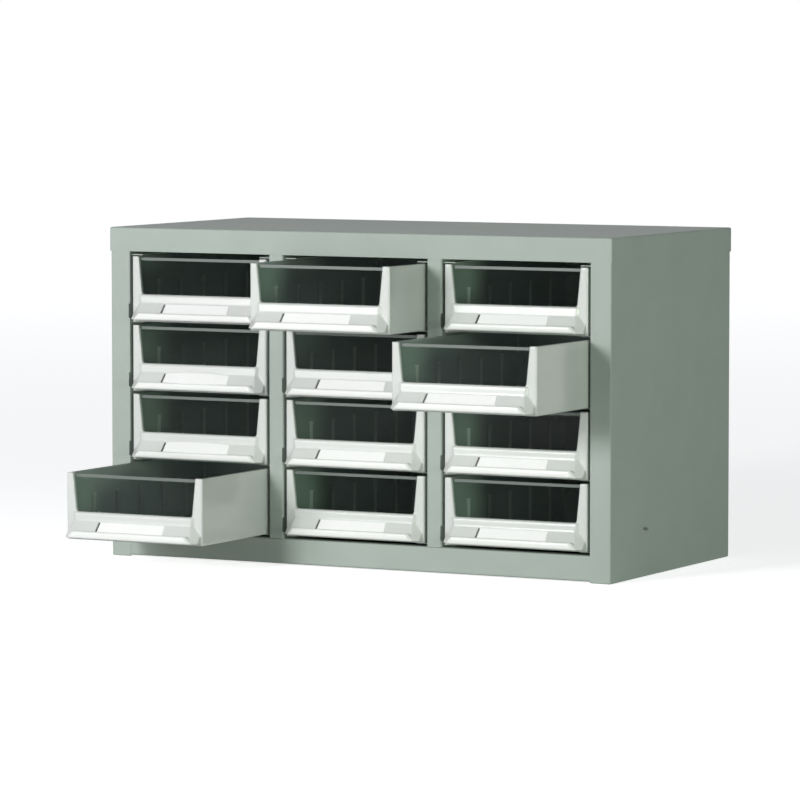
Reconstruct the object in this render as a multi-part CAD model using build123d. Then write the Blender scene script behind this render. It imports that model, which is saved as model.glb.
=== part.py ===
"""Bench-top parts cabinet: a folded sheet-steel case with twelve moulded drawers.

Millimetres, +Z up, +X to the right, +Y to the back: the drawers open towards -Y.
The origin is on the floor, in the middle of the case's footprint.
"""

from build123d import *
import os
from math import sqrt

# ---- case, over all -----------------------------------------------------------------------
case_width = 586.0
case_depth = 294.6
case_height = 348.4
sheet = 1.0  # steel sheet
fold_inside = 1.0  # inside radius of a fold
fold_clearance = 0.2  # between a sheet's edge and the inside of a fold

# ---- layout of the drawers ----------------------------------------------------------------
columns = 3
rows = 4
post_width = 23.0
mullion_width = 17.0
drawer_side_gap = 3.25  # from a drawer to the edge of its opening
drawer_gap = 4.1  # from one drawer up to the next
bottom_drawer_gap = 3.7  # from the front rail up to the lowest drawer
top_drawer_gap = 5.2  # from the top drawers up to the cap's lower edge
tray_rear_gap = 10.6  # from a closed drawer to the back panel
length_kept_in = 80.0  # of a drawer that is out as far as its stop
pulled_out = {(4, 1): 133.0, (1, 2): 75.0, (2, 3): 115.0}  # (row, column), rows from the top

# ---- case sheets --------------------------------------------------------------------------
cap_skirt = 25.2
side_flange = 12.0  # rear, top and bottom folds of a side panel
lip_depth = 4.0  # return fold behind the posts and mullions
web_recess = 2.0  # from an opening's edge out to the sheet that carries the runners
bulb_clearance = 0.5  # between a liner's flanges and the rivets' bulbs
rail_bottom = 2.0
rail_height = 26.0
rail_depth = 14.0
rail_setback = 0.3
pan_upstand = 12.0  # rear fold of the bottom pan
pan_front_gap = 1.0  # from the top of the pan's front fold up to the top of the rail

# ---- notches that let a lifted drawer's stop lug through ----------------------------------
notch_rise = 3.5  # from the drawer's bottom up to the notch
notch_height = 15.0
notch_depth = 1.5

# ---- runners ------------------------------------------------------------------------------
runner_overlap = 10.0  # how far a runner reaches under the drawer
runner_leg = 12.0
runner_front_gap = 0.5  # behind the return fold
runner_leg_gap = 0.5  # behind the front rail and the pan's fold
runner_rear_gap = 8.1  # before the back panel
running_clearance = 0.3  # between a drawer and the runner that it slides on
tilt_clearance = 1.0  # between the top drawers and the guides above them

# ---- rivets of the back panel -------------------------------------------------------------
rivet_radius = 1.6
rivet_hole_clearance = 0.05
rivet_head_radius = 3.2
rivet_head_height = 0.9
rivet_head_round = 0.6
rivet_bulb_radius = 2.5
rivet_bulb_height = 1.2
rivets_per_side = 5
rivet_end_margin = 40.0  # from the body's ends to the first and last rivet

# ---- drawer tray --------------------------------------------------------------------------
wall = 2.0
floor_thickness = 2.0
front_thickness = 4.0
front_lower_thickness = 2.5  # behind the finger pull
front_corner_radius = 2.0
rear_inner_radius = 2.0
sill_height = 28.8
stile_top = 7.75  # width of a stile at the drawer's top
stile_foot = 11.75  # width of a stile at the sill
window_corner_radius = 3.0

# ---- clear window and its seat ------------------------------------------------------------
window_thickness = 2.0
window_side_gap = 0.4
window_top_gap = 1.3  # below the drawer's top
window_seat_drop = 6.8  # from the sill down to the seat
window_seat_thickness = 2.0
window_rib = 1.5
window_rib_reach = 3.0
window_slack = 0.3
window_rib_top_gap = 8.0

# ---- ribs that take the loose dividers ----------------------------------------------------
divider_first = 50.0  # depth of the first pair, from the drawer's front
divider_last_gap = 40.0  # from the last pair to the tray's rear
divider_count = 5
divider_slot = 1.8
divider_rib = 1.2
divider_rib_reach = 1.5
divider_rib_top = 43.0
divider_flare = 1.0
divider_flare_height = 2.5

# ---- label plane and finger pull under the window -----------------------------------------
sill_proud = 2.2
sill_radius = 2.5
sill_band_height = 8.8
label_top_proud = 2.8
label_foot_height = 7.5
label_foot_proud = 9.5
pull_shell = 2.0
pull_bottom = 2.4
nose_rise = 2.4  # from the foot of the label plane up to the nose bar's top
nose_back_slope = 1.0  # how far the bar's back leans forward over that rise
nose_proud = 14.0
nose_radius = 1.9
end_slope_height = 0.8  # how fast an end of the pull runs outwards as it goes down
end_slope_proud = 1.0  # how fast it draws inwards as it stands proud
end_meets_side = 7.8  # height at which an end reaches the drawer's front corner
end_radius = 1.9  # of the edges round a slanting end

# ---- label card and the slot beside it ----------------------------------------------------
card_width = 77.0
card_height = 12.4
card_foot_gap = 0.4  # from the foot of the label plane up to the card
card_thickness = 0.4
card_slant = 10.0  # degrees that the card's left end and the slot lean to the right
card_slot_width = 2.4
card_slot_height = 11.6
card_slot_gap = 0.1  # between the slot and the card's end

# ---- stop lug on a tray's left side -------------------------------------------------------
lug_height = 13.0
lug_rise = 1.0
lug_length = 8.0
lug_notch_clearance = 0.3
lug_stop_clearance = 0.3

# ---- places worked out from the sizes above -----------------------------------------------
body_width = case_width - 2 * sheet
body_depth = case_depth - 2 * sheet
body_height = case_height - sheet
front_y = -body_depth / 2
rear_y = body_depth / 2
back_y = rear_y - 2 * sheet  # inner face of the back panel
bend_radius = fold_inside + sheet
edge_gap = fold_inside + fold_clearance

span = body_width - 2 * post_width
opening_width = (span - (columns - 1) * mullion_width) / columns
column_pitch = opening_width + mullion_width
drawer_width = opening_width - 2 * drawer_side_gap
partition_width = mullion_width - 2 * web_recess

rail_top = rail_bottom + rail_height
lowest_drawer_z = rail_top + bottom_drawer_gap
drawers_top = case_height - cap_skirt - top_drawer_gap
row_pitch = (drawers_top - lowest_drawer_z + drawer_gap) / rows
drawer_height = row_pitch - drawer_gap
tray_depth = back_y - front_y - tray_rear_gap
full_travel = tray_depth - length_kept_in  # closed to the stop

runner_front = front_y + lip_depth + runner_front_gap
runner_leg_front = front_y + rail_depth + sheet + runner_leg_gap
runner_back = back_y - runner_rear_gap
rivet_x = body_width / 2 - side_flange / 2
liner_x = span / 2 + web_recess
liner_flange = rivet_x - rivet_bulb_radius - bulb_clearance - liner_x

rear_corner_radius = rear_inner_radius + wall
window_seat_height = sill_height - window_seat_drop
divider_pitch = (tray_depth - divider_first - divider_last_gap) / (divider_count - 1)
label_top_height = sill_height - sill_band_height
label_slope = (label_foot_proud - label_top_proud) / (label_top_height - label_foot_height)
slope_length = sqrt(1 + label_slope**2)  # along the label plane, for each millimetre of height
label_length = slope_length * (label_top_height - label_foot_height)
card_y = card_foot_gap + (card_height - label_length) / 2  # from the label plane's middle
window_y = front_thickness
window_width = drawer_width - 2 * (wall + window_side_gap)
nose_top = label_foot_height + nose_rise
lug_reach = drawer_side_gap + notch_depth - lug_notch_clearance
lug_front = full_travel + lip_depth + lug_stop_clearance


def block(x, y, z):
    """Box from its lowest and highest x, y and z, each given as a pair."""
    low = (min(x), min(y), min(z))
    size = (abs(x[1] - x[0]), abs(y[1] - y[0]), abs(z[1] - z[0]))
    return Pos(*low) * Box(*size, align=(Align.MIN, Align.MIN, Align.MIN))


def column_x(column):
    """Middle of a column of drawers, counted from the left."""
    return (column - (columns + 1) / 2) * column_pitch


def drawer_z(row):
    """Bottom of a drawer, with the rows counted from the top."""
    return lowest_drawer_z + (rows - row) * row_pitch


def rivet_places():
    """Heights of the rivets along each rear fold."""
    pitch = (body_height - 2 * rivet_end_margin) / (rivets_per_side - 1)
    return [rivet_end_margin + i * pitch for i in range(rivets_per_side)]


def along_y(radius, x, y, z):
    """Cylinder from y[0] to y[1] about a line through x and z."""
    length = y[1] - y[0]
    middle = (y[0] + y[1]) / 2
    return Pos(x, middle, z) * Rot(90, 0, 0) * Cylinder(radius, length)


# ---- case ---------------------------------------------------------------------------------
def top_cap():
    """Shallow folded pan that closes the case from above and hides its raw top edges."""
    skirt_z = case_height - cap_skirt
    outer = block(
        (-case_width / 2, case_width / 2),
        (-case_depth / 2, case_depth / 2),
        (skirt_z, case_height),
    )
    outer_folds = outer.edges() - outer.faces().sort_by(Axis.Z)[0].edges()
    outer = fillet(outer_folds, bend_radius)
    inner = block(
        (-body_width / 2, body_width / 2),
        (front_y, rear_y),
        (skirt_z - sheet, case_height - sheet),
    )
    inner_folds = inner.edges() - inner.faces().sort_by(Axis.Z)[0].edges()
    return outer - fillet(inner_folds, fold_inside)


def lip_notches(edge_x, outward):
    """Cuts in the left edge of an opening, at edge_x, one beside each drawer."""
    cuts = []
    for row in range(1, rows + 1):
        z = drawer_z(row) + notch_rise
        cuts.append(
            block(
                (edge_x - outward * sheet, edge_x + outward * notch_depth),
                (front_y - sheet, front_y + lip_depth + sheet),
                (z, z + notch_height),
            )
        )
    return cuts


def side_panel_right():
    """Side skin whose front fold is the post, with narrow folds at the rear, top and bottom."""
    outside = body_width / 2
    post_edge = outside - post_width
    outer = block((post_edge, outside), (front_y, rear_y), (0, body_height))
    outer_folds = outer.edges() - outer.faces().sort_by(Axis.X)[0].edges()
    outer = fillet(outer_folds, bend_radius)
    inner = block(
        (post_edge - sheet, outside - sheet),
        (front_y + sheet, rear_y - sheet),
        (sheet, body_height - sheet),
    )
    inner_folds = inner.edges() - inner.faces().sort_by(Axis.X)[0].edges()
    skin = outer - fillet(inner_folds, fold_inside)
    beyond_flanges = block(
        (post_edge - sheet, outside - side_flange),
        (front_y + sheet, rear_y + sheet),
        (-sheet, body_height + sheet),
    )
    skin -= beyond_flanges
    lip = block(
        (post_edge, post_edge + sheet),
        (front_y + sheet / 2, front_y + lip_depth),
        (edge_gap + sheet, body_height - sheet - edge_gap),
    )
    skin += lip
    for z in rivet_places():
        radius = rivet_radius + rivet_hole_clearance
        skin -= along_y(radius, rivet_x, (rear_y - 2 * sheet, rear_y + sheet), z)
    return skin


def side_panel_left():
    """The right side panel mirrored, with the notches in its post's edge."""
    skin = mirror(side_panel_right(), Plane.YZ)
    for cut in lip_notches(post_width - body_width / 2, -1):
        skin -= cut
    return skin


def side_liner_right():
    """Channel behind the post that carries the outer runners of the right column."""
    outer = block(
        (liner_x, liner_x + liner_flange),
        (front_y + sheet, back_y),
        (sheet + edge_gap, body_height - sheet - edge_gap),
    )
    hollow = block(
        (liner_x + sheet, liner_x + liner_flange + sheet),
        (front_y + 2 * sheet, back_y - sheet),
        (0, body_height),
    )
    return outer - hollow


def mullion(x):
    """Narrow folded strip in front of a partition, between two columns of drawers."""
    half = mullion_width / 2
    z = (rail_top, body_height - bend_radius)
    outer = block((x - half, x + half), (front_y, front_y + lip_depth), z)
    outer = fillet(outer.edges().filter_by(Axis.Z).sort_by(Axis.Y)[:2], bend_radius)
    hollow = block(
        (x - half + sheet, x + half - sheet),
        (front_y + sheet, front_y + lip_depth + sheet),
        (0, case_height),
    )
    hollow = fillet(hollow.edges().filter_by(Axis.Z).sort_by(Axis.Y)[:2], fold_inside)
    strip = outer - hollow
    for cut in lip_notches(x + half, -1):
        strip -= cut
    return strip


def partition(x):
    """Upright channel, open at the rear, that carries the runners between two columns."""
    half = partition_width / 2
    outer = block((x - half, x + half), (front_y + sheet, back_y), (sheet, body_height))
    hollow = block(
        (x - half + sheet, x + half - sheet),
        (front_y + 2 * sheet, back_y + sheet),
        (0, case_height),
    )
    over_rail = block(
        (x - half - sheet, x + half + sheet),
        (front_y, front_y + rail_depth + sheet + edge_gap),
        (0, rail_top),
    )
    over_pan_fold = block(
        (x - half - sheet, x + half + sheet),
        (back_y - sheet - edge_gap, rear_y),
        (0, pan_upstand + fold_clearance),
    )
    return outer - hollow - over_rail - over_pan_fold


def front_rail():
    """Folded channel across the bottom of the front, between the posts."""
    face_y = front_y + rail_setback
    y = (face_y, front_y + rail_depth)
    outer = block((-span / 2, span / 2), y, (rail_bottom, rail_top))
    outer = fillet(outer.edges().filter_by(Axis.X).sort_by(Axis.Y)[:2], bend_radius)
    hollow = block(
        (-span / 2 - sheet, span / 2 + sheet),
        (face_y + sheet, front_y + rail_depth + sheet),
        (rail_bottom + sheet, rail_top - sheet),
    )
    hollow = fillet(hollow.edges().filter_by(Axis.X).sort_by(Axis.Y)[:2], fold_inside)
    return outer - hollow


def bottom_pan():
    """Floor sheet with a fold up behind the front rail and another before the back panel."""
    front = front_y + rail_depth
    profile_y = (front, back_y)
    upstand_z = (0, rail_top - pan_front_gap)
    outer = block((-span / 2, span / 2), profile_y, upstand_z)
    outer = fillet(outer.edges().filter_by(Axis.X).sort_by(Axis.Z)[:2], bend_radius)
    hollow = block(
        (-span / 2 - sheet, span / 2 + sheet),
        (front + sheet, back_y - sheet),
        (sheet, rail_top + sheet),
    )
    hollow = fillet(hollow.edges().filter_by(Axis.X).sort_by(Axis.Z)[:2], fold_inside)
    above_rear_fold = block(
        (-span / 2 - sheet, span / 2 + sheet),
        (back_y - 2 * sheet, back_y + sheet),
        (pan_upstand, rail_top + sheet),
    )
    reach = body_width / 2 - side_flange
    floor_sheet = block(
        (-reach, reach), (front + bend_radius, back_y - bend_radius), (0, sheet)
    )
    return outer - hollow - above_rear_fold + floor_sheet


def back_panel():
    """Flat sheet riveted inside the rear folds of the side panels."""
    half = body_width / 2 - sheet - edge_gap
    panel = block(
        (-half, half),
        (back_y, rear_y - sheet),
        (sheet + edge_gap, body_height - sheet - edge_gap),
    )
    for z in rivet_places():
        for x in (-rivet_x, rivet_x):
            radius = rivet_radius + rivet_hole_clearance
            panel -= along_y(radius, x, (back_y - sheet, rear_y), z)
    return panel


def back_rivets():
    """Blind rivets: a low head outside, a shank through two sheets and a bulb inside."""
    rivets = []
    for z in rivet_places():
        for x in (-rivet_x, rivet_x):
            head = along_y(rivet_head_radius, x, (rear_y, rear_y + rivet_head_height), z)
            rim = head.edges().filter_by(GeomType.CIRCLE).sort_by(Axis.Y)[-1]
            head = fillet(rim, rivet_head_round)
            shank = along_y(rivet_radius, x, (back_y, rear_y), z)
            bulb = along_y(rivet_bulb_radius, x, (back_y - rivet_bulb_height, back_y), z)
            rivets.append(head + shank + bulb)
    return Compound(children=rivets)


def angle_strip(web_x, inward, top_z, leg_up):
    """Angle on the sheet at web_x: a ledge towards the drawer and a leg up or down the sheet."""
    reach = web_recess + drawer_side_gap + runner_overlap
    ledge_y = (runner_front, runner_back)
    ledge = block((web_x, web_x + inward * reach), ledge_y, (top_z - sheet, top_z))
    if leg_up:
        leg_z = (top_z - sheet, top_z + runner_leg)
    else:
        leg_z = (top_z - runner_leg, top_z)
    leg_y = (runner_leg_front, runner_back)
    return ledge + block((web_x, web_x + inward * sheet), leg_y, leg_z)


def runner_set(column, side):
    """Four runners and the top guide on one side of a column: side is -1 left, 1 right."""
    web_x = column_x(column) + side * (opening_width / 2 + web_recess)
    strips = []
    for row in range(1, rows + 1):
        strips.append(angle_strip(web_x, -side, drawer_z(row) - running_clearance, False))
    guide_top = drawer_z(1) + drawer_height + tilt_clearance + sheet
    strips.append(angle_strip(web_x, -side, guide_top, True))
    return Compound(children=strips)


# ---- drawer, about the middle of its front face's bottom edge -----------------------------
def tray_body():
    """Open box with a thicker front, and the window's opening left in that front."""
    half = drawer_width / 2
    outer = block((-half, half), (0, tray_depth), (0, drawer_height))
    uprights = outer.edges().filter_by(Axis.Z).sort_by(Axis.Y)
    outer = fillet(uprights[:2], front_corner_radius)
    uprights = outer.edges().filter_by(Axis.Z).sort_by(Axis.Y)
    outer = fillet(uprights[-2:], rear_corner_radius)
    inside = block(
        (-half + wall, half - wall),
        (front_thickness, tray_depth - wall),
        (floor_thickness, drawer_height + wall),
    )
    uprights = inside.edges().filter_by(Axis.Z).sort_by(Axis.Y)
    inside = fillet(uprights[-2:], rear_inner_radius)
    behind_pull = block(
        (-half + wall, half - wall),
        (front_lower_thickness, front_thickness + wall),
        (floor_thickness, window_seat_height - window_seat_thickness),
    )
    return outer - inside - behind_pull


def window_opening():
    """Cutter for the opening between the stiles, narrower at the sill than at the top."""
    half = drawer_width / 2
    foot = half - stile_foot
    lean = (stile_foot - stile_top) / (drawer_height - sill_height)
    top = foot + lean * (drawer_height + wall - sill_height)
    above = drawer_height + wall
    outline = Polyline(
        (-top, above), (-foot, sill_height), (foot, sill_height), (top, above), close=True
    )
    face = make_face(Plane.XZ * outline)
    cutter = extrude(face, front_thickness + wall, both=True)
    foot_edges = cutter.edges().filter_by(Axis.Y).sort_by(Axis.Z)[:2]
    return fillet(foot_edges, window_corner_radius)


def window_seat():
    """Ledge under the window and the two upright ribs behind it."""
    half = drawer_width / 2
    rib_y = window_y + window_thickness + window_slack
    ledge = block(
        (-half + wall / 2, half - wall / 2),
        (front_lower_thickness / 2, rib_y + window_rib),
        (window_seat_height - window_seat_thickness, window_seat_height),
    )
    seat = [ledge]
    for side in (-1, 1):
        seat.append(
            block(
                (side * (half - wall / 2), side * (half - wall - window_rib_reach)),
                (rib_y, rib_y + window_rib),
                (floor_thickness / 2, drawer_height - window_rib_top_gap),
            )
        )
    return seat


def divider_ribs():
    """Pairs of upright ribs on both side walls, each rib spread outwards at its top."""
    half = drawer_width / 2
    ribs = []
    for i in range(divider_count):
        middle = divider_first + i * divider_pitch
        for side in (-1, 1):
            x = (side * (half - wall / 2), side * (half - wall - divider_rib_reach))
            for way in (-1, 1):
                near = middle + way * divider_slot / 2
                far = near + way * divider_rib
                ribs.append(block(x, (near, far), (floor_thickness / 2, divider_rib_top)))
                flare_z = (divider_rib_top - divider_flare_height, divider_rib_top)
                ribs.append(block(x, (near, far + way * divider_flare), flare_z))
    return ribs


def stop_lug():
    """Small block on the tray's left side that meets the return fold at full travel."""
    half = drawer_width / 2
    return block(
        (-half + wall / 2, -half - lug_reach),
        (lug_front, lug_front + lug_length),
        (lug_rise, lug_rise + lug_height),
    )


def beyond(point, normal):
    """Everything near the drawer's front on the far side of the plane, where normal points."""
    reach = drawer_width + drawer_height
    slab = Box(reach, reach, reach, align=(Align.CENTER, Align.CENTER, Align.MIN))
    return Plane(point, z_dir=normal) * slab


def beyond_end(side, inset):
    """Everything outside the slanting end of the finger pull, moved inwards by inset."""
    normal = Vector(side, -end_slope_proud, end_slope_height)
    point = Vector(side * drawer_width / 2, 0, end_meets_side)
    return beyond(point - normal.normalized() * inset, normal)


def across_drawer(outline, half_width):
    """Solid of the given (y, z) outline, that far to each side of the drawer's middle."""
    return extrude(make_face(Plane.YZ * outline), half_width, both=True)


def sill_band():
    """Rounded sill and the nearly upright band between it and the label plane."""
    outline = Polyline(
        (wall / 2, sill_height),
        (-sill_proud, sill_height),
        (-label_top_proud, label_top_height),
        (wall / 2, label_top_height),
        close=True,
    )
    half = drawer_width / 2
    band = across_drawer(outline, half)
    top_edges = band.edges().filter_by(Axis.X).sort_by(Axis.Z)[-2:]
    band = fillet(top_edges.sort_by(Axis.Y)[0], sill_radius)
    for side in (-1, 1):
        point = Vector(side * (half - stile_foot), -label_top_proud, sill_height)
        band -= beyond(point, Vector(side, -end_slope_proud, 0))
    return band


def label_wedge():
    """Wedge under the sill whose sloping front is the label plane."""
    outline = Polyline(
        (wall / 2, label_top_height),
        (-label_top_proud, label_top_height),
        (-label_foot_proud, label_foot_height),
        (-label_foot_proud, pull_bottom),
        (wall / 2, pull_bottom),
        close=True,
    )
    wedge = across_drawer(outline, drawer_width / 2 + label_foot_proud)
    for side in (-1, 1):
        wedge -= beyond_end(side, 0)
    edges = wedge.edges().filter_by(Axis.X, reverse=True)
    edges = edges.filter_by_position(Axis.Y, -label_foot_proud, -label_top_proud)
    edges = edges.filter_by_position(Axis.Z, pull_bottom, label_top_height, (False, False))
    return fillet(edges, end_radius)


def nose_bar():
    """Bar along the foot of the label plane, which holds the card's lower edge."""
    outline = Polyline(
        (-label_top_proud, pull_bottom),
        (-label_top_proud, label_foot_height),
        (-label_foot_proud, label_foot_height),
        (-label_foot_proud - nose_back_slope, nose_top),
        (-nose_proud, nose_top),
        (-nose_proud, pull_bottom),
        close=True,
    )
    bar = across_drawer(outline, drawer_width / 2 + label_foot_proud)
    for side in (-1, 1):
        bar -= beyond_end(side, 0)
    front_edges = bar.faces().sort_by(Axis.Y)[0].edges()
    return fillet(front_edges, nose_radius)


def pull_hollow():
    """Room for the fingers under the label plane, one shell thickness inside it."""
    inner_top = label_top_proud - pull_shell * slope_length
    below = pull_bottom - wall
    inner_foot = inner_top + label_slope * (label_top_height - below)
    apex = label_top_height + inner_top / label_slope
    outline = Polyline((0, below), (-inner_foot, below), (0, apex), close=True)
    half = drawer_width / 2 - front_corner_radius - pull_shell
    hollow = across_drawer(outline, half)
    for side in (-1, 1):
        hollow -= beyond_end(side, pull_shell)
    return hollow


def finger_pull():
    """Sloping label plane and nose bar between the rounded front corners, still solid."""
    half = drawer_width / 2 - front_corner_radius
    between_corners = block((-half, half), (-2 * nose_proud, wall), (0, sill_height))
    return ((label_wedge() + nose_bar()) & between_corners) + sill_band()


def on_label_plane():
    """Plane on the label's slope: x along the drawer, y up the slope, z out of it."""
    middle_proud = (label_top_proud + label_foot_proud) / 2
    middle_height = (label_top_height + label_foot_height) / 2
    outwards = Vector(0, -1, label_slope)
    return Plane((0, -middle_proud, middle_height), x_dir=(1, 0, 0), z_dir=outwards)


def card_end():
    """Middle of the card's left end, turned to that end's lean."""
    return on_label_plane() * Pos(-card_width / 2, card_y, 0) * Rot(0, 0, -card_slant)


def label_card():
    """Paper card that lies on the label plane behind the nose bar's edge."""
    align = (Align.CENTER, Align.CENTER, Align.MIN)
    card = Box(card_width + card_height, card_height, card_thickness, align=align)
    card = on_label_plane() * Pos(-card_height / 2, card_y, 0) * card
    offcut = Box(2 * card_height, 2 * card_height, 2 * card_height, align=Align.CENTER)
    return card - card_end() * Pos(-card_height, 0, 0) * offcut


def card_slot():
    """Cutter for the leaning slot at the card's left end, right through the label plane."""
    align = (Align.MAX, Align.CENTER, Align.MAX)
    depth = card_thickness + pull_shell + wall
    slot = Box(card_slot_width, card_slot_height, depth, align=align)
    return card_end() * Pos(-card_slot_gap, 0, card_thickness) * slot


def drawer_tray():
    """The moulded drawer in one piece."""
    tray = tray_body() - window_opening()
    tray = tray + finger_pull() - pull_hollow()
    for piece in window_seat() + divider_ribs():
        tray += piece
    return tray + stop_lug() - card_slot()


def drawer_window():
    """Clear plate that stands on its seat between the front and the upright ribs."""
    half = window_width / 2
    return block(
        (-half, half),
        (window_y, window_y + window_thickness),
        (window_seat_height, drawer_height - window_top_gap),
    )


# ---- all the pieces -----------------------------------------------------------------------
os.makedirs("parts", exist_ok=True)

export_step(top_cap(), "parts/top_cap.step")
export_step(side_panel_right(), "parts/side_panel_right.step")
export_step(side_panel_left(), "parts/side_panel_left.step")
right_liner = side_liner_right()
export_step(right_liner, "parts/side_liner_right.step")
export_step(mirror(right_liner, Plane.YZ), "parts/side_liner_left.step")
for number in range(1, columns):
    between = (column_x(number) + column_x(number + 1)) / 2
    export_step(mullion(between), f"parts/mullion_{number}.step")
    export_step(partition(between), f"parts/partition_{number}.step")
export_step(front_rail(), "parts/front_rail.step")
export_step(bottom_pan(), "parts/bottom_pan.step")
export_step(back_panel(), "parts/back_panel.step")
export_step(back_rivets(), "parts/back_rivets.step")
for column in range(1, columns + 1):
    export_step(runner_set(column, -1), f"parts/runners_c{column}_left.step")
    export_step(runner_set(column, 1), f"parts/runners_c{column}_right.step")

tray = drawer_tray()
window = drawer_window()
card = label_card()
for row in range(1, rows + 1):
    for column in range(1, columns + 1):
        y = front_y - pulled_out.get((row, column), 0.0)
        place = Pos(column_x(column), y, drawer_z(row))
        name = f"r{row}c{column}"
        export_step(place * tray, f"parts/tray_{name}.step")
        export_step(place * window, f"parts/window_{name}.step")
        export_step(place * card, f"parts/label_card_{name}.step")
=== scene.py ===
"""Parts bin cabinet: an enamelled sheet-steel case with twelve moulded drawers on runners.

Every piece is in metres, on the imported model's own axes: +X right, +Y back, +Z up.
"""

import math

import bmesh
import bpy
from mathutils import Matrix, Vector


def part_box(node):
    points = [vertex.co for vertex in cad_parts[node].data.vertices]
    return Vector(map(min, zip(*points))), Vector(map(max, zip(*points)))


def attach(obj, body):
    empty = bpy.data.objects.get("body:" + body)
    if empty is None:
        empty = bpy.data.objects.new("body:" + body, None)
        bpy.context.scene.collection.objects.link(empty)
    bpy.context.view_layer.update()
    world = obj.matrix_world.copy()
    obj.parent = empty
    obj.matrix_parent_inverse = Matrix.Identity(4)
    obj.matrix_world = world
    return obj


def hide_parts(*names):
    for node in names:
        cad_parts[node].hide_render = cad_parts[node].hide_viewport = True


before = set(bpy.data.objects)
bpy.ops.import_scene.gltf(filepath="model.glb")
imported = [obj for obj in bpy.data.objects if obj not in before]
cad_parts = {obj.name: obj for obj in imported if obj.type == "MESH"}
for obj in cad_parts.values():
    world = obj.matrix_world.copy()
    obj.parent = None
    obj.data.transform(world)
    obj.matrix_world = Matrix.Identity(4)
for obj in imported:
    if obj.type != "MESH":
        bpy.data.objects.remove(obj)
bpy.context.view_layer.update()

# ---- case sheets --------------------------------------------------------------------------
# The cap, sides, posts, mullions, rail, partitions, pan and back are 1 mm mild steel, folded,
# spot welded and sprayed with a pale grey-green stoving enamel before the drawers go in.
mm = 0.001


def linear(colour):
    """Linear RGBA of an sRGB hex colour."""
    parts = [int(colour[i : i + 2], 16) / 255 for i in (1, 3, 5)]
    curve = [p / 12.92 if p <= 0.04045 else ((p + 0.055) / 1.055) ** 2.4 for p in parts]
    return (*curve, 1.0)


def add(tree, kind, sockets=None, **settings):
    """Add a node with its settings, and give its sockets their values or links."""
    node = tree.nodes.new(kind)
    for name, value in settings.items():
        setattr(node, name, value)
    for name, value in (sockets or {}).items():
        if isinstance(value, bpy.types.NodeSocket):
            tree.links.new(value, node.inputs[name])
        else:
            node.inputs[name].default_value = value
    return node


def maths(tree, operation, first, second):
    """One sum on two numbers."""
    node = add(tree, "ShaderNodeMath", {0: first, 1: second}, operation=operation)
    return node.outputs[0]


def blend(tree, share, first, second):
    """A colour between two, nearer the second as share rises to 1."""
    node = add(tree, "ShaderNodeMix", {0: share, 6: first, 7: second}, data_type="RGBA")
    return node.outputs[2]


def noise(tree, place, grain, detail):
    """Soft noise from 0 to 1, with patches about as wide as grain."""
    sockets = {"Vector": place, "Scale": 1 / grain, "Detail": detail}
    return add(tree, "ShaderNodeTexNoise", sockets).outputs[0]


def new_finish(name):
    """An empty finish: its node tree, its output and where patterns are read from."""
    finish = bpy.data.materials.new(name)
    finish.use_nodes = True
    tree = finish.node_tree
    tree.nodes.clear()
    output = add(tree, "ShaderNodeOutputMaterial")
    place = add(tree, "ShaderNodeTexCoord").outputs["Object"]
    return finish, tree, output, place


def paint(node, finish):
    """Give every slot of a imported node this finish."""
    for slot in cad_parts[node].material_slots:
        slot.material = finish


# Stoving enamel on steel: sprayed and baked, so it flows out smooth and semi-gloss, with a
# faint orange peel and cloudy patches where the coat is thinner.
enamel, tree, output, place = new_finish("stoved_enamel")
cloud = noise(tree, place, 38 * mm, 4.0)
coat = blend(tree, cloud, linear("#A3ADA6"), linear("#ADB7B0"))
# One dark rub mark low on the right side, 18 mm long, where something hard scraped past.
rub_place = add(
    tree,
    "ShaderNodeMapping",
    {
        "Vector": place,
        "Location": (0.292, -0.0633, 0.049),
        "Rotation": (math.radians(-8), 0, 0),
        "Scale": (2 * mm, 9 * mm, 2.6 * mm),
    },
    vector_type="TEXTURE",
)
rub = add(
    tree, "ShaderNodeTexGradient", {"Vector": rub_place.outputs[0]}, gradient_type="SPHERICAL"
)
rub_edge = add(
    tree, "ShaderNodeMath", {0: rub.outputs[1], 1: 1.6}, operation="MULTIPLY", use_clamp=True
)
rubbed = blend(tree, rub_edge.outputs[0], coat, linear("#5B625D"))
# Real orange peel is about 1.5 mm from crest to crest; 4 mm is the finest that shows here.
peel = noise(tree, place, 4 * mm, 2.0)
peel_bump = add(tree, "ShaderNodeBump", {"Height": peel, "Strength": 0.06, "Distance": 0.4 * mm})
shader = add(
    tree,
    "ShaderNodeBsdfPrincipled",
    {
        "Base Color": rubbed,
        "Roughness": 0.55,
        "IOR": 1.5,
        "Specular IOR Level": 0.35,
        "Normal": peel_bump.outputs[0],
    },
)
tree.links.new(shader.outputs[0], output.inputs["Surface"])

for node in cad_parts:
    if not node.startswith(("tray_", "window_", "label_card_", "back_rivets")):
        paint(node, enamel)

# ---- blind rivets -------------------------------------------------------------------------
# Ten 3.2 mm blind rivets hold the back sheet to the rear folds. Aluminium, cold headed and
# left bare, with a thin dull oxide.
rivet_metal, tree, output, place = new_finish("bare_aluminium")
oxide = noise(tree, place, 2 * mm, 3.0)
dull = add(tree, "ShaderNodeMapRange", {"Value": oxide, "To Min": 0.3, "To Max": 0.48})
shader = add(
    tree,
    "ShaderNodeBsdfPrincipled",
    {"Base Color": linear("#E3E4E4"), "Metallic": 1.0, "Roughness": dull.outputs[0]},
)
tree.links.new(shader.outputs[0], output.inputs["Surface"])
paint("back_rivets", rivet_metal)

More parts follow.
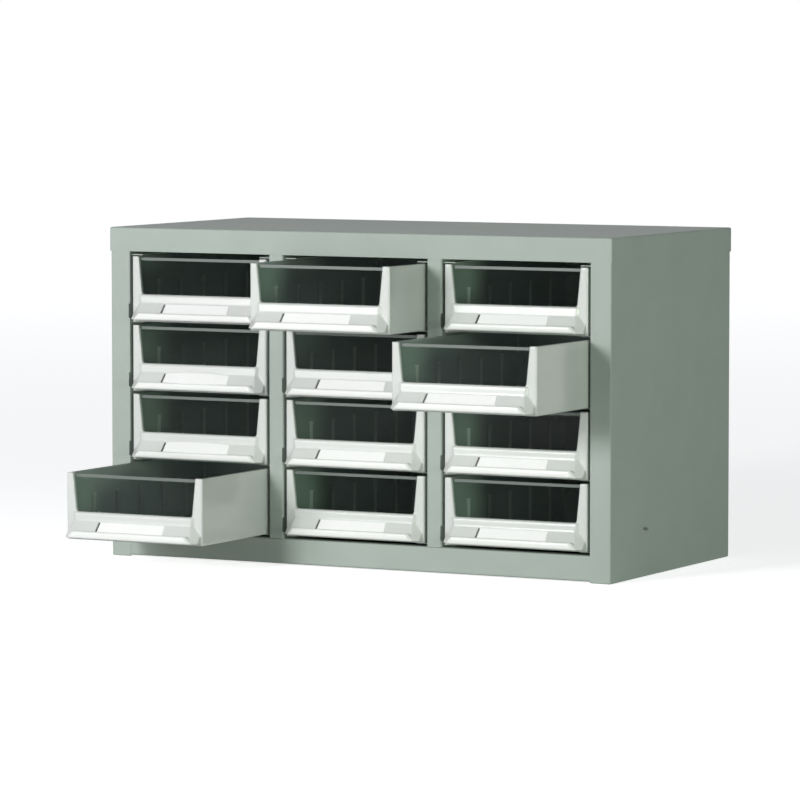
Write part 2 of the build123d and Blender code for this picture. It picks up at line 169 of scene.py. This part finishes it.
# ---- drawer trays -------------------------------------------------------------------------
# Each tray is one injection moulding in off-white ABS, polished outside. Its inside is painted a
# darker grey-green, painted shade for the dim inside of a drawer in the case, and it shows
# through the window.
tray_wall = 2 * mm
tray_front = 14 * mm  # from the tip of the finger pull back to the stiles
front_wall = 4 * mm
lower_front_wall = 2.5 * mm  # up to the seat that the window stands on
window_seat = 22 * mm  # above the tray's bottom
window_gap = 0.4 * mm  # from a side wall to the window
face_gap = 0.2 * mm  # the painted shade starts this far inside the plastic
rib_reach = 1.5 * mm  # how far a divider rib stands out from the wall
rib_gap = 0.1 * mm  # around the ribs, which are left out of the painted shade
rib_foot = 3 * mm
rib_top = 43 * mm
ribs_front = 8 * mm  # clear of everything in front of the first rib
ribs_rear = 6 * mm
lip_depth = 2.6 * mm  # of the finger pull's lip, from its tip


def within(tree, place, low, high):
    """1 inside a box, 0 outside it."""
    middle = (low + high) / 2
    half = (high - low) / 2
    centred = add(
        tree,
        "ShaderNodeMapping",
        {"Vector": place, "Location": middle, "Scale": half},
        vector_type="TEXTURE",
    )
    size = add(tree, "ShaderNodeVectorMath", {0: centred.outputs[0]}, operation="ABSOLUTE")
    axes = add(tree, "ShaderNodeSeparateXYZ", {0: size.outputs[0]})
    across = maths(tree, "MAXIMUM", axes.outputs[0], axes.outputs[1])
    largest = maths(tree, "MAXIMUM", across, axes.outputs[2])
    return maths(tree, "LESS_THAN", largest, 1.0)


def tray_plastic(name, low, high):
    """Gloss ABS for one tray, with painted shade on its inside."""
    finish, tree, output, place = new_finish(name)
    front = low.y + tray_front
    half_wall = tray_wall / 2
    room_low = Vector((low.x + half_wall, front + front_wall - face_gap, low.z + half_wall))
    room_high = Vector((high.x - half_wall, high.y - half_wall, high.z - 0.1 * mm))
    # The tray's lower front is thinner, so its inner face starts further forward.
    foot_low = Vector((room_low.x, front + lower_front_wall - face_gap, room_low.z))
    foot_high = Vector((room_high.x, front + front_wall, low.z + window_seat))
    room = within(tree, place, room_low, room_high)
    foot = within(tree, place, foot_low, foot_high)
    inside = maths(tree, "MAXIMUM", room, foot)
    # The ribs on the walls are left out of the painted shade and keep the pale plastic, so they
    # stand out as lit.
    wall_face = Vector((tray_wall + rib_gap, 0, 0))
    rib_face = Vector((tray_wall + rib_reach + rib_gap, 0, 0))
    rib_low = Vector((low.x, front + ribs_front, low.z + rib_foot))
    rib_high = Vector((high.x, high.y - ribs_rear, low.z + rib_top + face_gap))
    up_to_wall = within(tree, place, rib_low + wall_face, rib_high - wall_face)
    up_to_ribs = within(tree, place, rib_low + rib_face, rib_high - rib_face)
    ribs = maths(tree, "SUBTRACT", up_to_wall, up_to_ribs)
    inside_shade_mask = maths(tree, "SUBTRACT", inside, ribs)
    # Painted highlight: the finger pull's lip is painted whiter, for the light it catches.
    lip_low = Vector((low.x - 2 * mm, low.y - 1 * mm, low.z - 1 * mm))
    lip_high = Vector((high.x + 2 * mm, low.y + lip_depth, low.z + window_seat))
    lip_highlight = within(tree, place, lip_low, lip_high)
    # Flow of the plastic in the mould leaves slightly lighter and darker streaks.
    streak_place = add(tree, "ShaderNodeMapping", {"Vector": place, "Scale": (1.0, 0.3, 1.6)})
    streak = noise(tree, streak_place.outputs[0], 30 * mm, 3.0)
    shell = blend(tree, streak, linear("#D3D6D3"), linear("#DCDEDB"))
    outside_and_highlight = blend(tree, lip_highlight, shell, linear("#F3F4F1"))
    # Painted shade: the darker grey-green colour of the tray's inside.
    inside_shade_colour = blend(tree, streak, linear("#9AA3A0"), linear("#A8B1AE"))
    colour = blend(tree, inside_shade_mask, outside_and_highlight, inside_shade_colour)
    # The polished mould still carries fine ripples, drawn 6 mm apart so that they show.
    ripple = noise(tree, place, 6 * mm, 2.0)
    # Mould edges are softened, as polishing leaves them.
    soft_edges = add(tree, "ShaderNodeBevel", {"Radius": 3 * mm}, samples=6)
    ripple_bump = add(
        tree,
        "ShaderNodeBump",
        {
            "Height": ripple,
            "Strength": 0.04,
            "Distance": 0.4 * mm,
            "Normal": soft_edges.outputs[0],
        },
    )
    shader = add(
        tree,
        "ShaderNodeBsdfPrincipled",
        {"Base Color": colour, "Roughness": 0.19, "IOR": 1.53, "Normal": ripple_bump.outputs[0]},
    )
    tree.links.new(shader.outputs[0], output.inputs["Surface"])
    return finish


for node in sorted(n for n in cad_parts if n.startswith("tray_")):
    low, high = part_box(node)
    # A stop lug stands out past the left wall, so the walls are found from the window.
    pane_low, pane_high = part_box(node.replace("tray_", "window_"))
    low.x = pane_low.x - window_gap - tray_wall
    high.x = pane_high.x + window_gap + tray_wall
    paint(node, tray_plastic(node.replace("tray_", "gloss_abs_"), low, high))

# ---- windows ------------------------------------------------------------------------------
# A 2 mm clear styrene pane drops in behind the stiles and stands on a ledge. It has a faint
# green-grey tint, and years of small parts have dulled its polish a little.
pane_tint = linear("#EDF5F0")


def is_ray(tree, *kinds):
    """1 for rays of any of these kinds, 0 for all others."""
    path = add(tree, "ShaderNodeLightPath")
    found = path.outputs[kinds[0]]
    for kind in kinds[1:]:
        found = maths(tree, "MAXIMUM", found, path.outputs[kind])
    return found


pane_plastic, tree, output, place = new_finish("clear_styrene")
# Styrene's own index is 1.59. The lower one keeps the white room's mirror image faint.
shader = add(
    tree,
    "ShaderNodeBsdfPrincipled",
    {"Base Color": pane_tint, "Roughness": 0.04, "IOR": 1.12, "Transmission Weight": 1.0},
)
# Painted shade: a narrow band at the pane's top edge is painted dark grey, with a satin sheen,
# for the shade under the pull above. It is at the same height in every row.
rim_height = 3 * mm
rim_gap = 0.1 * mm
height = add(tree, "ShaderNodeSeparateXYZ", {0: place}).outputs[2]
pane_low, pane_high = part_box("window_r4c1")
row_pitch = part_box("window_r3c1")[0].z - pane_low.z
from_rim = maths(tree, "SUBTRACT", height, pane_high.z - rim_height)
in_row = maths(tree, "FLOORED_MODULO", from_rim, row_pitch)
rim_shade_band = maths(tree, "LESS_THAN", in_row, rim_height + rim_gap)
rim_shade_satin = add(
    tree,
    "ShaderNodeBsdfPrincipled",
    {"Base Color": linear("#656E69"), "Roughness": 0.3, "IOR": 1.49},
)
pane_with_rim_shade = add(
    tree, "ShaderNodeMixShader", {0: rim_shade_band, 1: shader.outputs[0], 2: rim_shade_satin.outputs[0]}
)
# Light falls straight through the pane, as it does through a real one.
straight = is_ray(tree, "Is Shadow Ray", "Is Diffuse Ray")
clear = add(tree, "ShaderNodeBsdfTransparent", {"Color": pane_tint})
pane_mix = add(
    tree, "ShaderNodeMixShader", {0: straight, 1: pane_with_rim_shade.outputs[0], 2: clear.outputs[0]}
)
tree.links.new(pane_mix.outputs[0], output.inputs["Surface"])
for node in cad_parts:
    if node.startswith("window_"):
        paint(node, pane_plastic)

# ---- label cards --------------------------------------------------------------------------
# Blank 77 x 12.4 mm cards of thin white board, cut on a guillotine with a leaning left end and
# tucked in behind the nose bar. Two in the left column have sprung out into a clear bow.
card_size = Vector((77 * mm, 12.4 * mm, 0.4 * mm))
end_lean = math.tan(math.radians(10))
label_slope = math.atan2(6.7, 12.5)  # the plane leans back by this much as it rises
card_gap = 0.25 * mm  # from the label plane to the middle of a flat card
slight_bow = 0.2 * mm
bow = {"r2c1": 4.2 * mm, "r3c1": 3.4 * mm, "r1c3": 0.8 * mm, "r4c2": 0.5 * mm}

board, tree, output, place = new_finish("white_card")
# Paper fibres are under 1 mm; they are drawn at 3 mm so that the sheet isn't flat white.
fibre = noise(tree, place, 3 * mm, 5.0)
sheet = blend(tree, fibre, linear("#FAFAF8"), linear("#FFFFFF"))
shader = add(
    tree,
    "ShaderNodeBsdfPrincipled",
    {"Base Color": sheet, "Roughness": 0.72, "IOR": 1.45},
)
tree.links.new(shader.outputs[0], output.inputs["Surface"])

for node in sorted(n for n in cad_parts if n.startswith("label_card_")):
    low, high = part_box(node)
    where = node.replace("label_card_", "")
    shape = bmesh.new()
    bmesh.ops.create_grid(shape, x_segments=28, y_segments=4, size=0.5)
    bmesh.ops.scale(shape, vec=(card_size.x, card_size.y, 1), verts=shape.verts)
    for corner in shape.verts:
        share = 2 * corner.co.x / card_size.x
        corner.co.z += card_gap + bow.get(where, slight_bow) * (1 - share**2)
        corner.co.x += max(0, -share) * end_lean * corner.co.y
    bmesh.ops.solidify(shape, geom=shape.faces[:], thickness=card_size.z)
    bmesh.ops.recalc_face_normals(shape, faces=shape.faces)
    lean = Matrix.Rotation(math.pi / 2 - label_slope, 4, "X")
    bmesh.ops.transform(shape, matrix=lean, verts=shape.verts)
    middle = (low + high) / 2
    middle.x = high.x - card_size.x / 2
    bmesh.ops.translate(shape, vec=middle, verts=shape.verts)
    mesh = bpy.data.meshes.new("blank_card_" + where)
    shape.to_mesh(mesh)
    shape.free()
    mesh.materials.append(board)
    card = bpy.data.objects.new("blank_card_" + where, mesh)
    bpy.context.scene.collection.objects.link(card)
    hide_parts(node)
    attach(card, "drawer_" + where)

# ---- floor --------------------------------------------------------------------------------
# A plain white studio floor that runs out of sight. It keeps the cabinet's shadow.
floor_half_width = 60
floor_shape = bmesh.new()
bmesh.ops.create_grid(floor_shape, x_segments=2, y_segments=2, size=floor_half_width)
floor_mesh = bpy.data.meshes.new("studio_floor")
floor_shape.to_mesh(floor_mesh)
floor_shape.free()
floor = bpy.data.objects.new("studio_floor", floor_mesh)
bpy.context.scene.collection.objects.link(floor)

floor_paint, tree, output, place = new_finish("white_floor_paint")
seen = is_ray(tree, "Is Camera Ray", "Is Glossy Ray", "Is Transmission Ray")
# Close to the cabinet the lamps light the floor, and further off its own paleness takes over.
off = add(tree, "ShaderNodeVectorMath", {0: place}, operation="LENGTH")
paler = add(
    tree,
    "ShaderNodeMapRange",
    {"Value": off.outputs["Value"], "From Min": 1, "From Max": 5, "To Min": 0.76, "To Max": 0.94},
)
glow = maths(tree, "MULTIPLY", seen, paler.outputs[0])
matt = add(tree, "ShaderNodeBsdfDiffuse", {"Color": linear("#F2F2F2")})
pale = add(tree, "ShaderNodeEmission", {"Color": (1, 1, 1, 1), "Strength": glow})
both = add(tree, "ShaderNodeAddShader", {0: matt.outputs[0], 1: pale.outputs[0]})
tree.links.new(both.outputs[0], output.inputs["Surface"])
floor_mesh.materials.append(floor_paint)

# ---- light --------------------------------------------------------------------------------
# One soft lamp a little left of the front and above it, a weaker one further left, one low on
# the right, and an even white room all round.
front_middle = (0, -0.15, 0.17)


def soft_lamp(name, place, aim, size, level, tint="#FFFFFF"):
    """Square lamp that lights a surface facing it, at aim, to that level."""
    lamp = bpy.data.lights.new(name, "AREA")
    lamp.shape = "SQUARE"
    lamp.size = size
    lamp.color = linear(tint)[:3]
    reach = Vector(aim) - Vector(place)
    lamp.energy = level * math.pi**2 * reach.length_squared
    holder = bpy.data.objects.new(name, lamp)
    holder.location = place
    holder.rotation_euler = reach.to_track_quat("-Z", "Y").to_euler()
    bpy.context.scene.collection.objects.link(holder)


soft_lamp("key_lamp", (-0.6, -2.3, 0.82), front_middle, 0.5, 0.555)
soft_lamp("left_fill", (-1.65, -3.26, 0.8), front_middle, 0.8, 0.165)
soft_lamp("right_fill", (2.48, -1.21, 0.3), (0.1, -0.15, 0.14), 0.55, 0.27, "#F0FFE8")

room = bpy.data.worlds.new("white_room")
room.use_nodes = True
tree = room.node_tree
tree.nodes.clear()
output = add(tree, "ShaderNodeOutputWorld")
seen = is_ray(tree, "Is Camera Ray", "Is Glossy Ray", "Is Transmission Ray")
strength = add(tree, "ShaderNodeMapRange", {"Value": seen, "To Min": 0.095, "To Max": 1.0})
daylight = blend(tree, seen, linear("#E3EEFA"), linear("#FFFFFF"))
sky = add(
    tree, "ShaderNodeBackground", {"Color": daylight, "Strength": strength.outputs[0]}
)
tree.links.new(sky.outputs[0], output.inputs["Surface"])
bpy.context.scene.world = room

# ---- camera -------------------------------------------------------------------------------
# The photograph's own viewpoint: 27.8 degrees right of the front, 4.4 degrees down, far off
# with a long lens.
look_down = math.radians(4.42)
turn_right = math.radians(27.82)
view = bpy.data.cameras.new("camera")
view.lens = 214.03
view.sensor_width = 36.0
view.clip_start = 0.1
view.clip_end = 200.0
camera = bpy.data.objects.new("camera", view)
camera.location = (2.3198, -4.4418, 0.553)
camera.rotation_euler = (math.pi / 2 - look_down, 0.0, turn_right)
bpy.context.scene.collection.objects.link(camera)
bpy.context.scene.camera = camera
bpy.context.scene.view_settings.view_transform = "Standard"
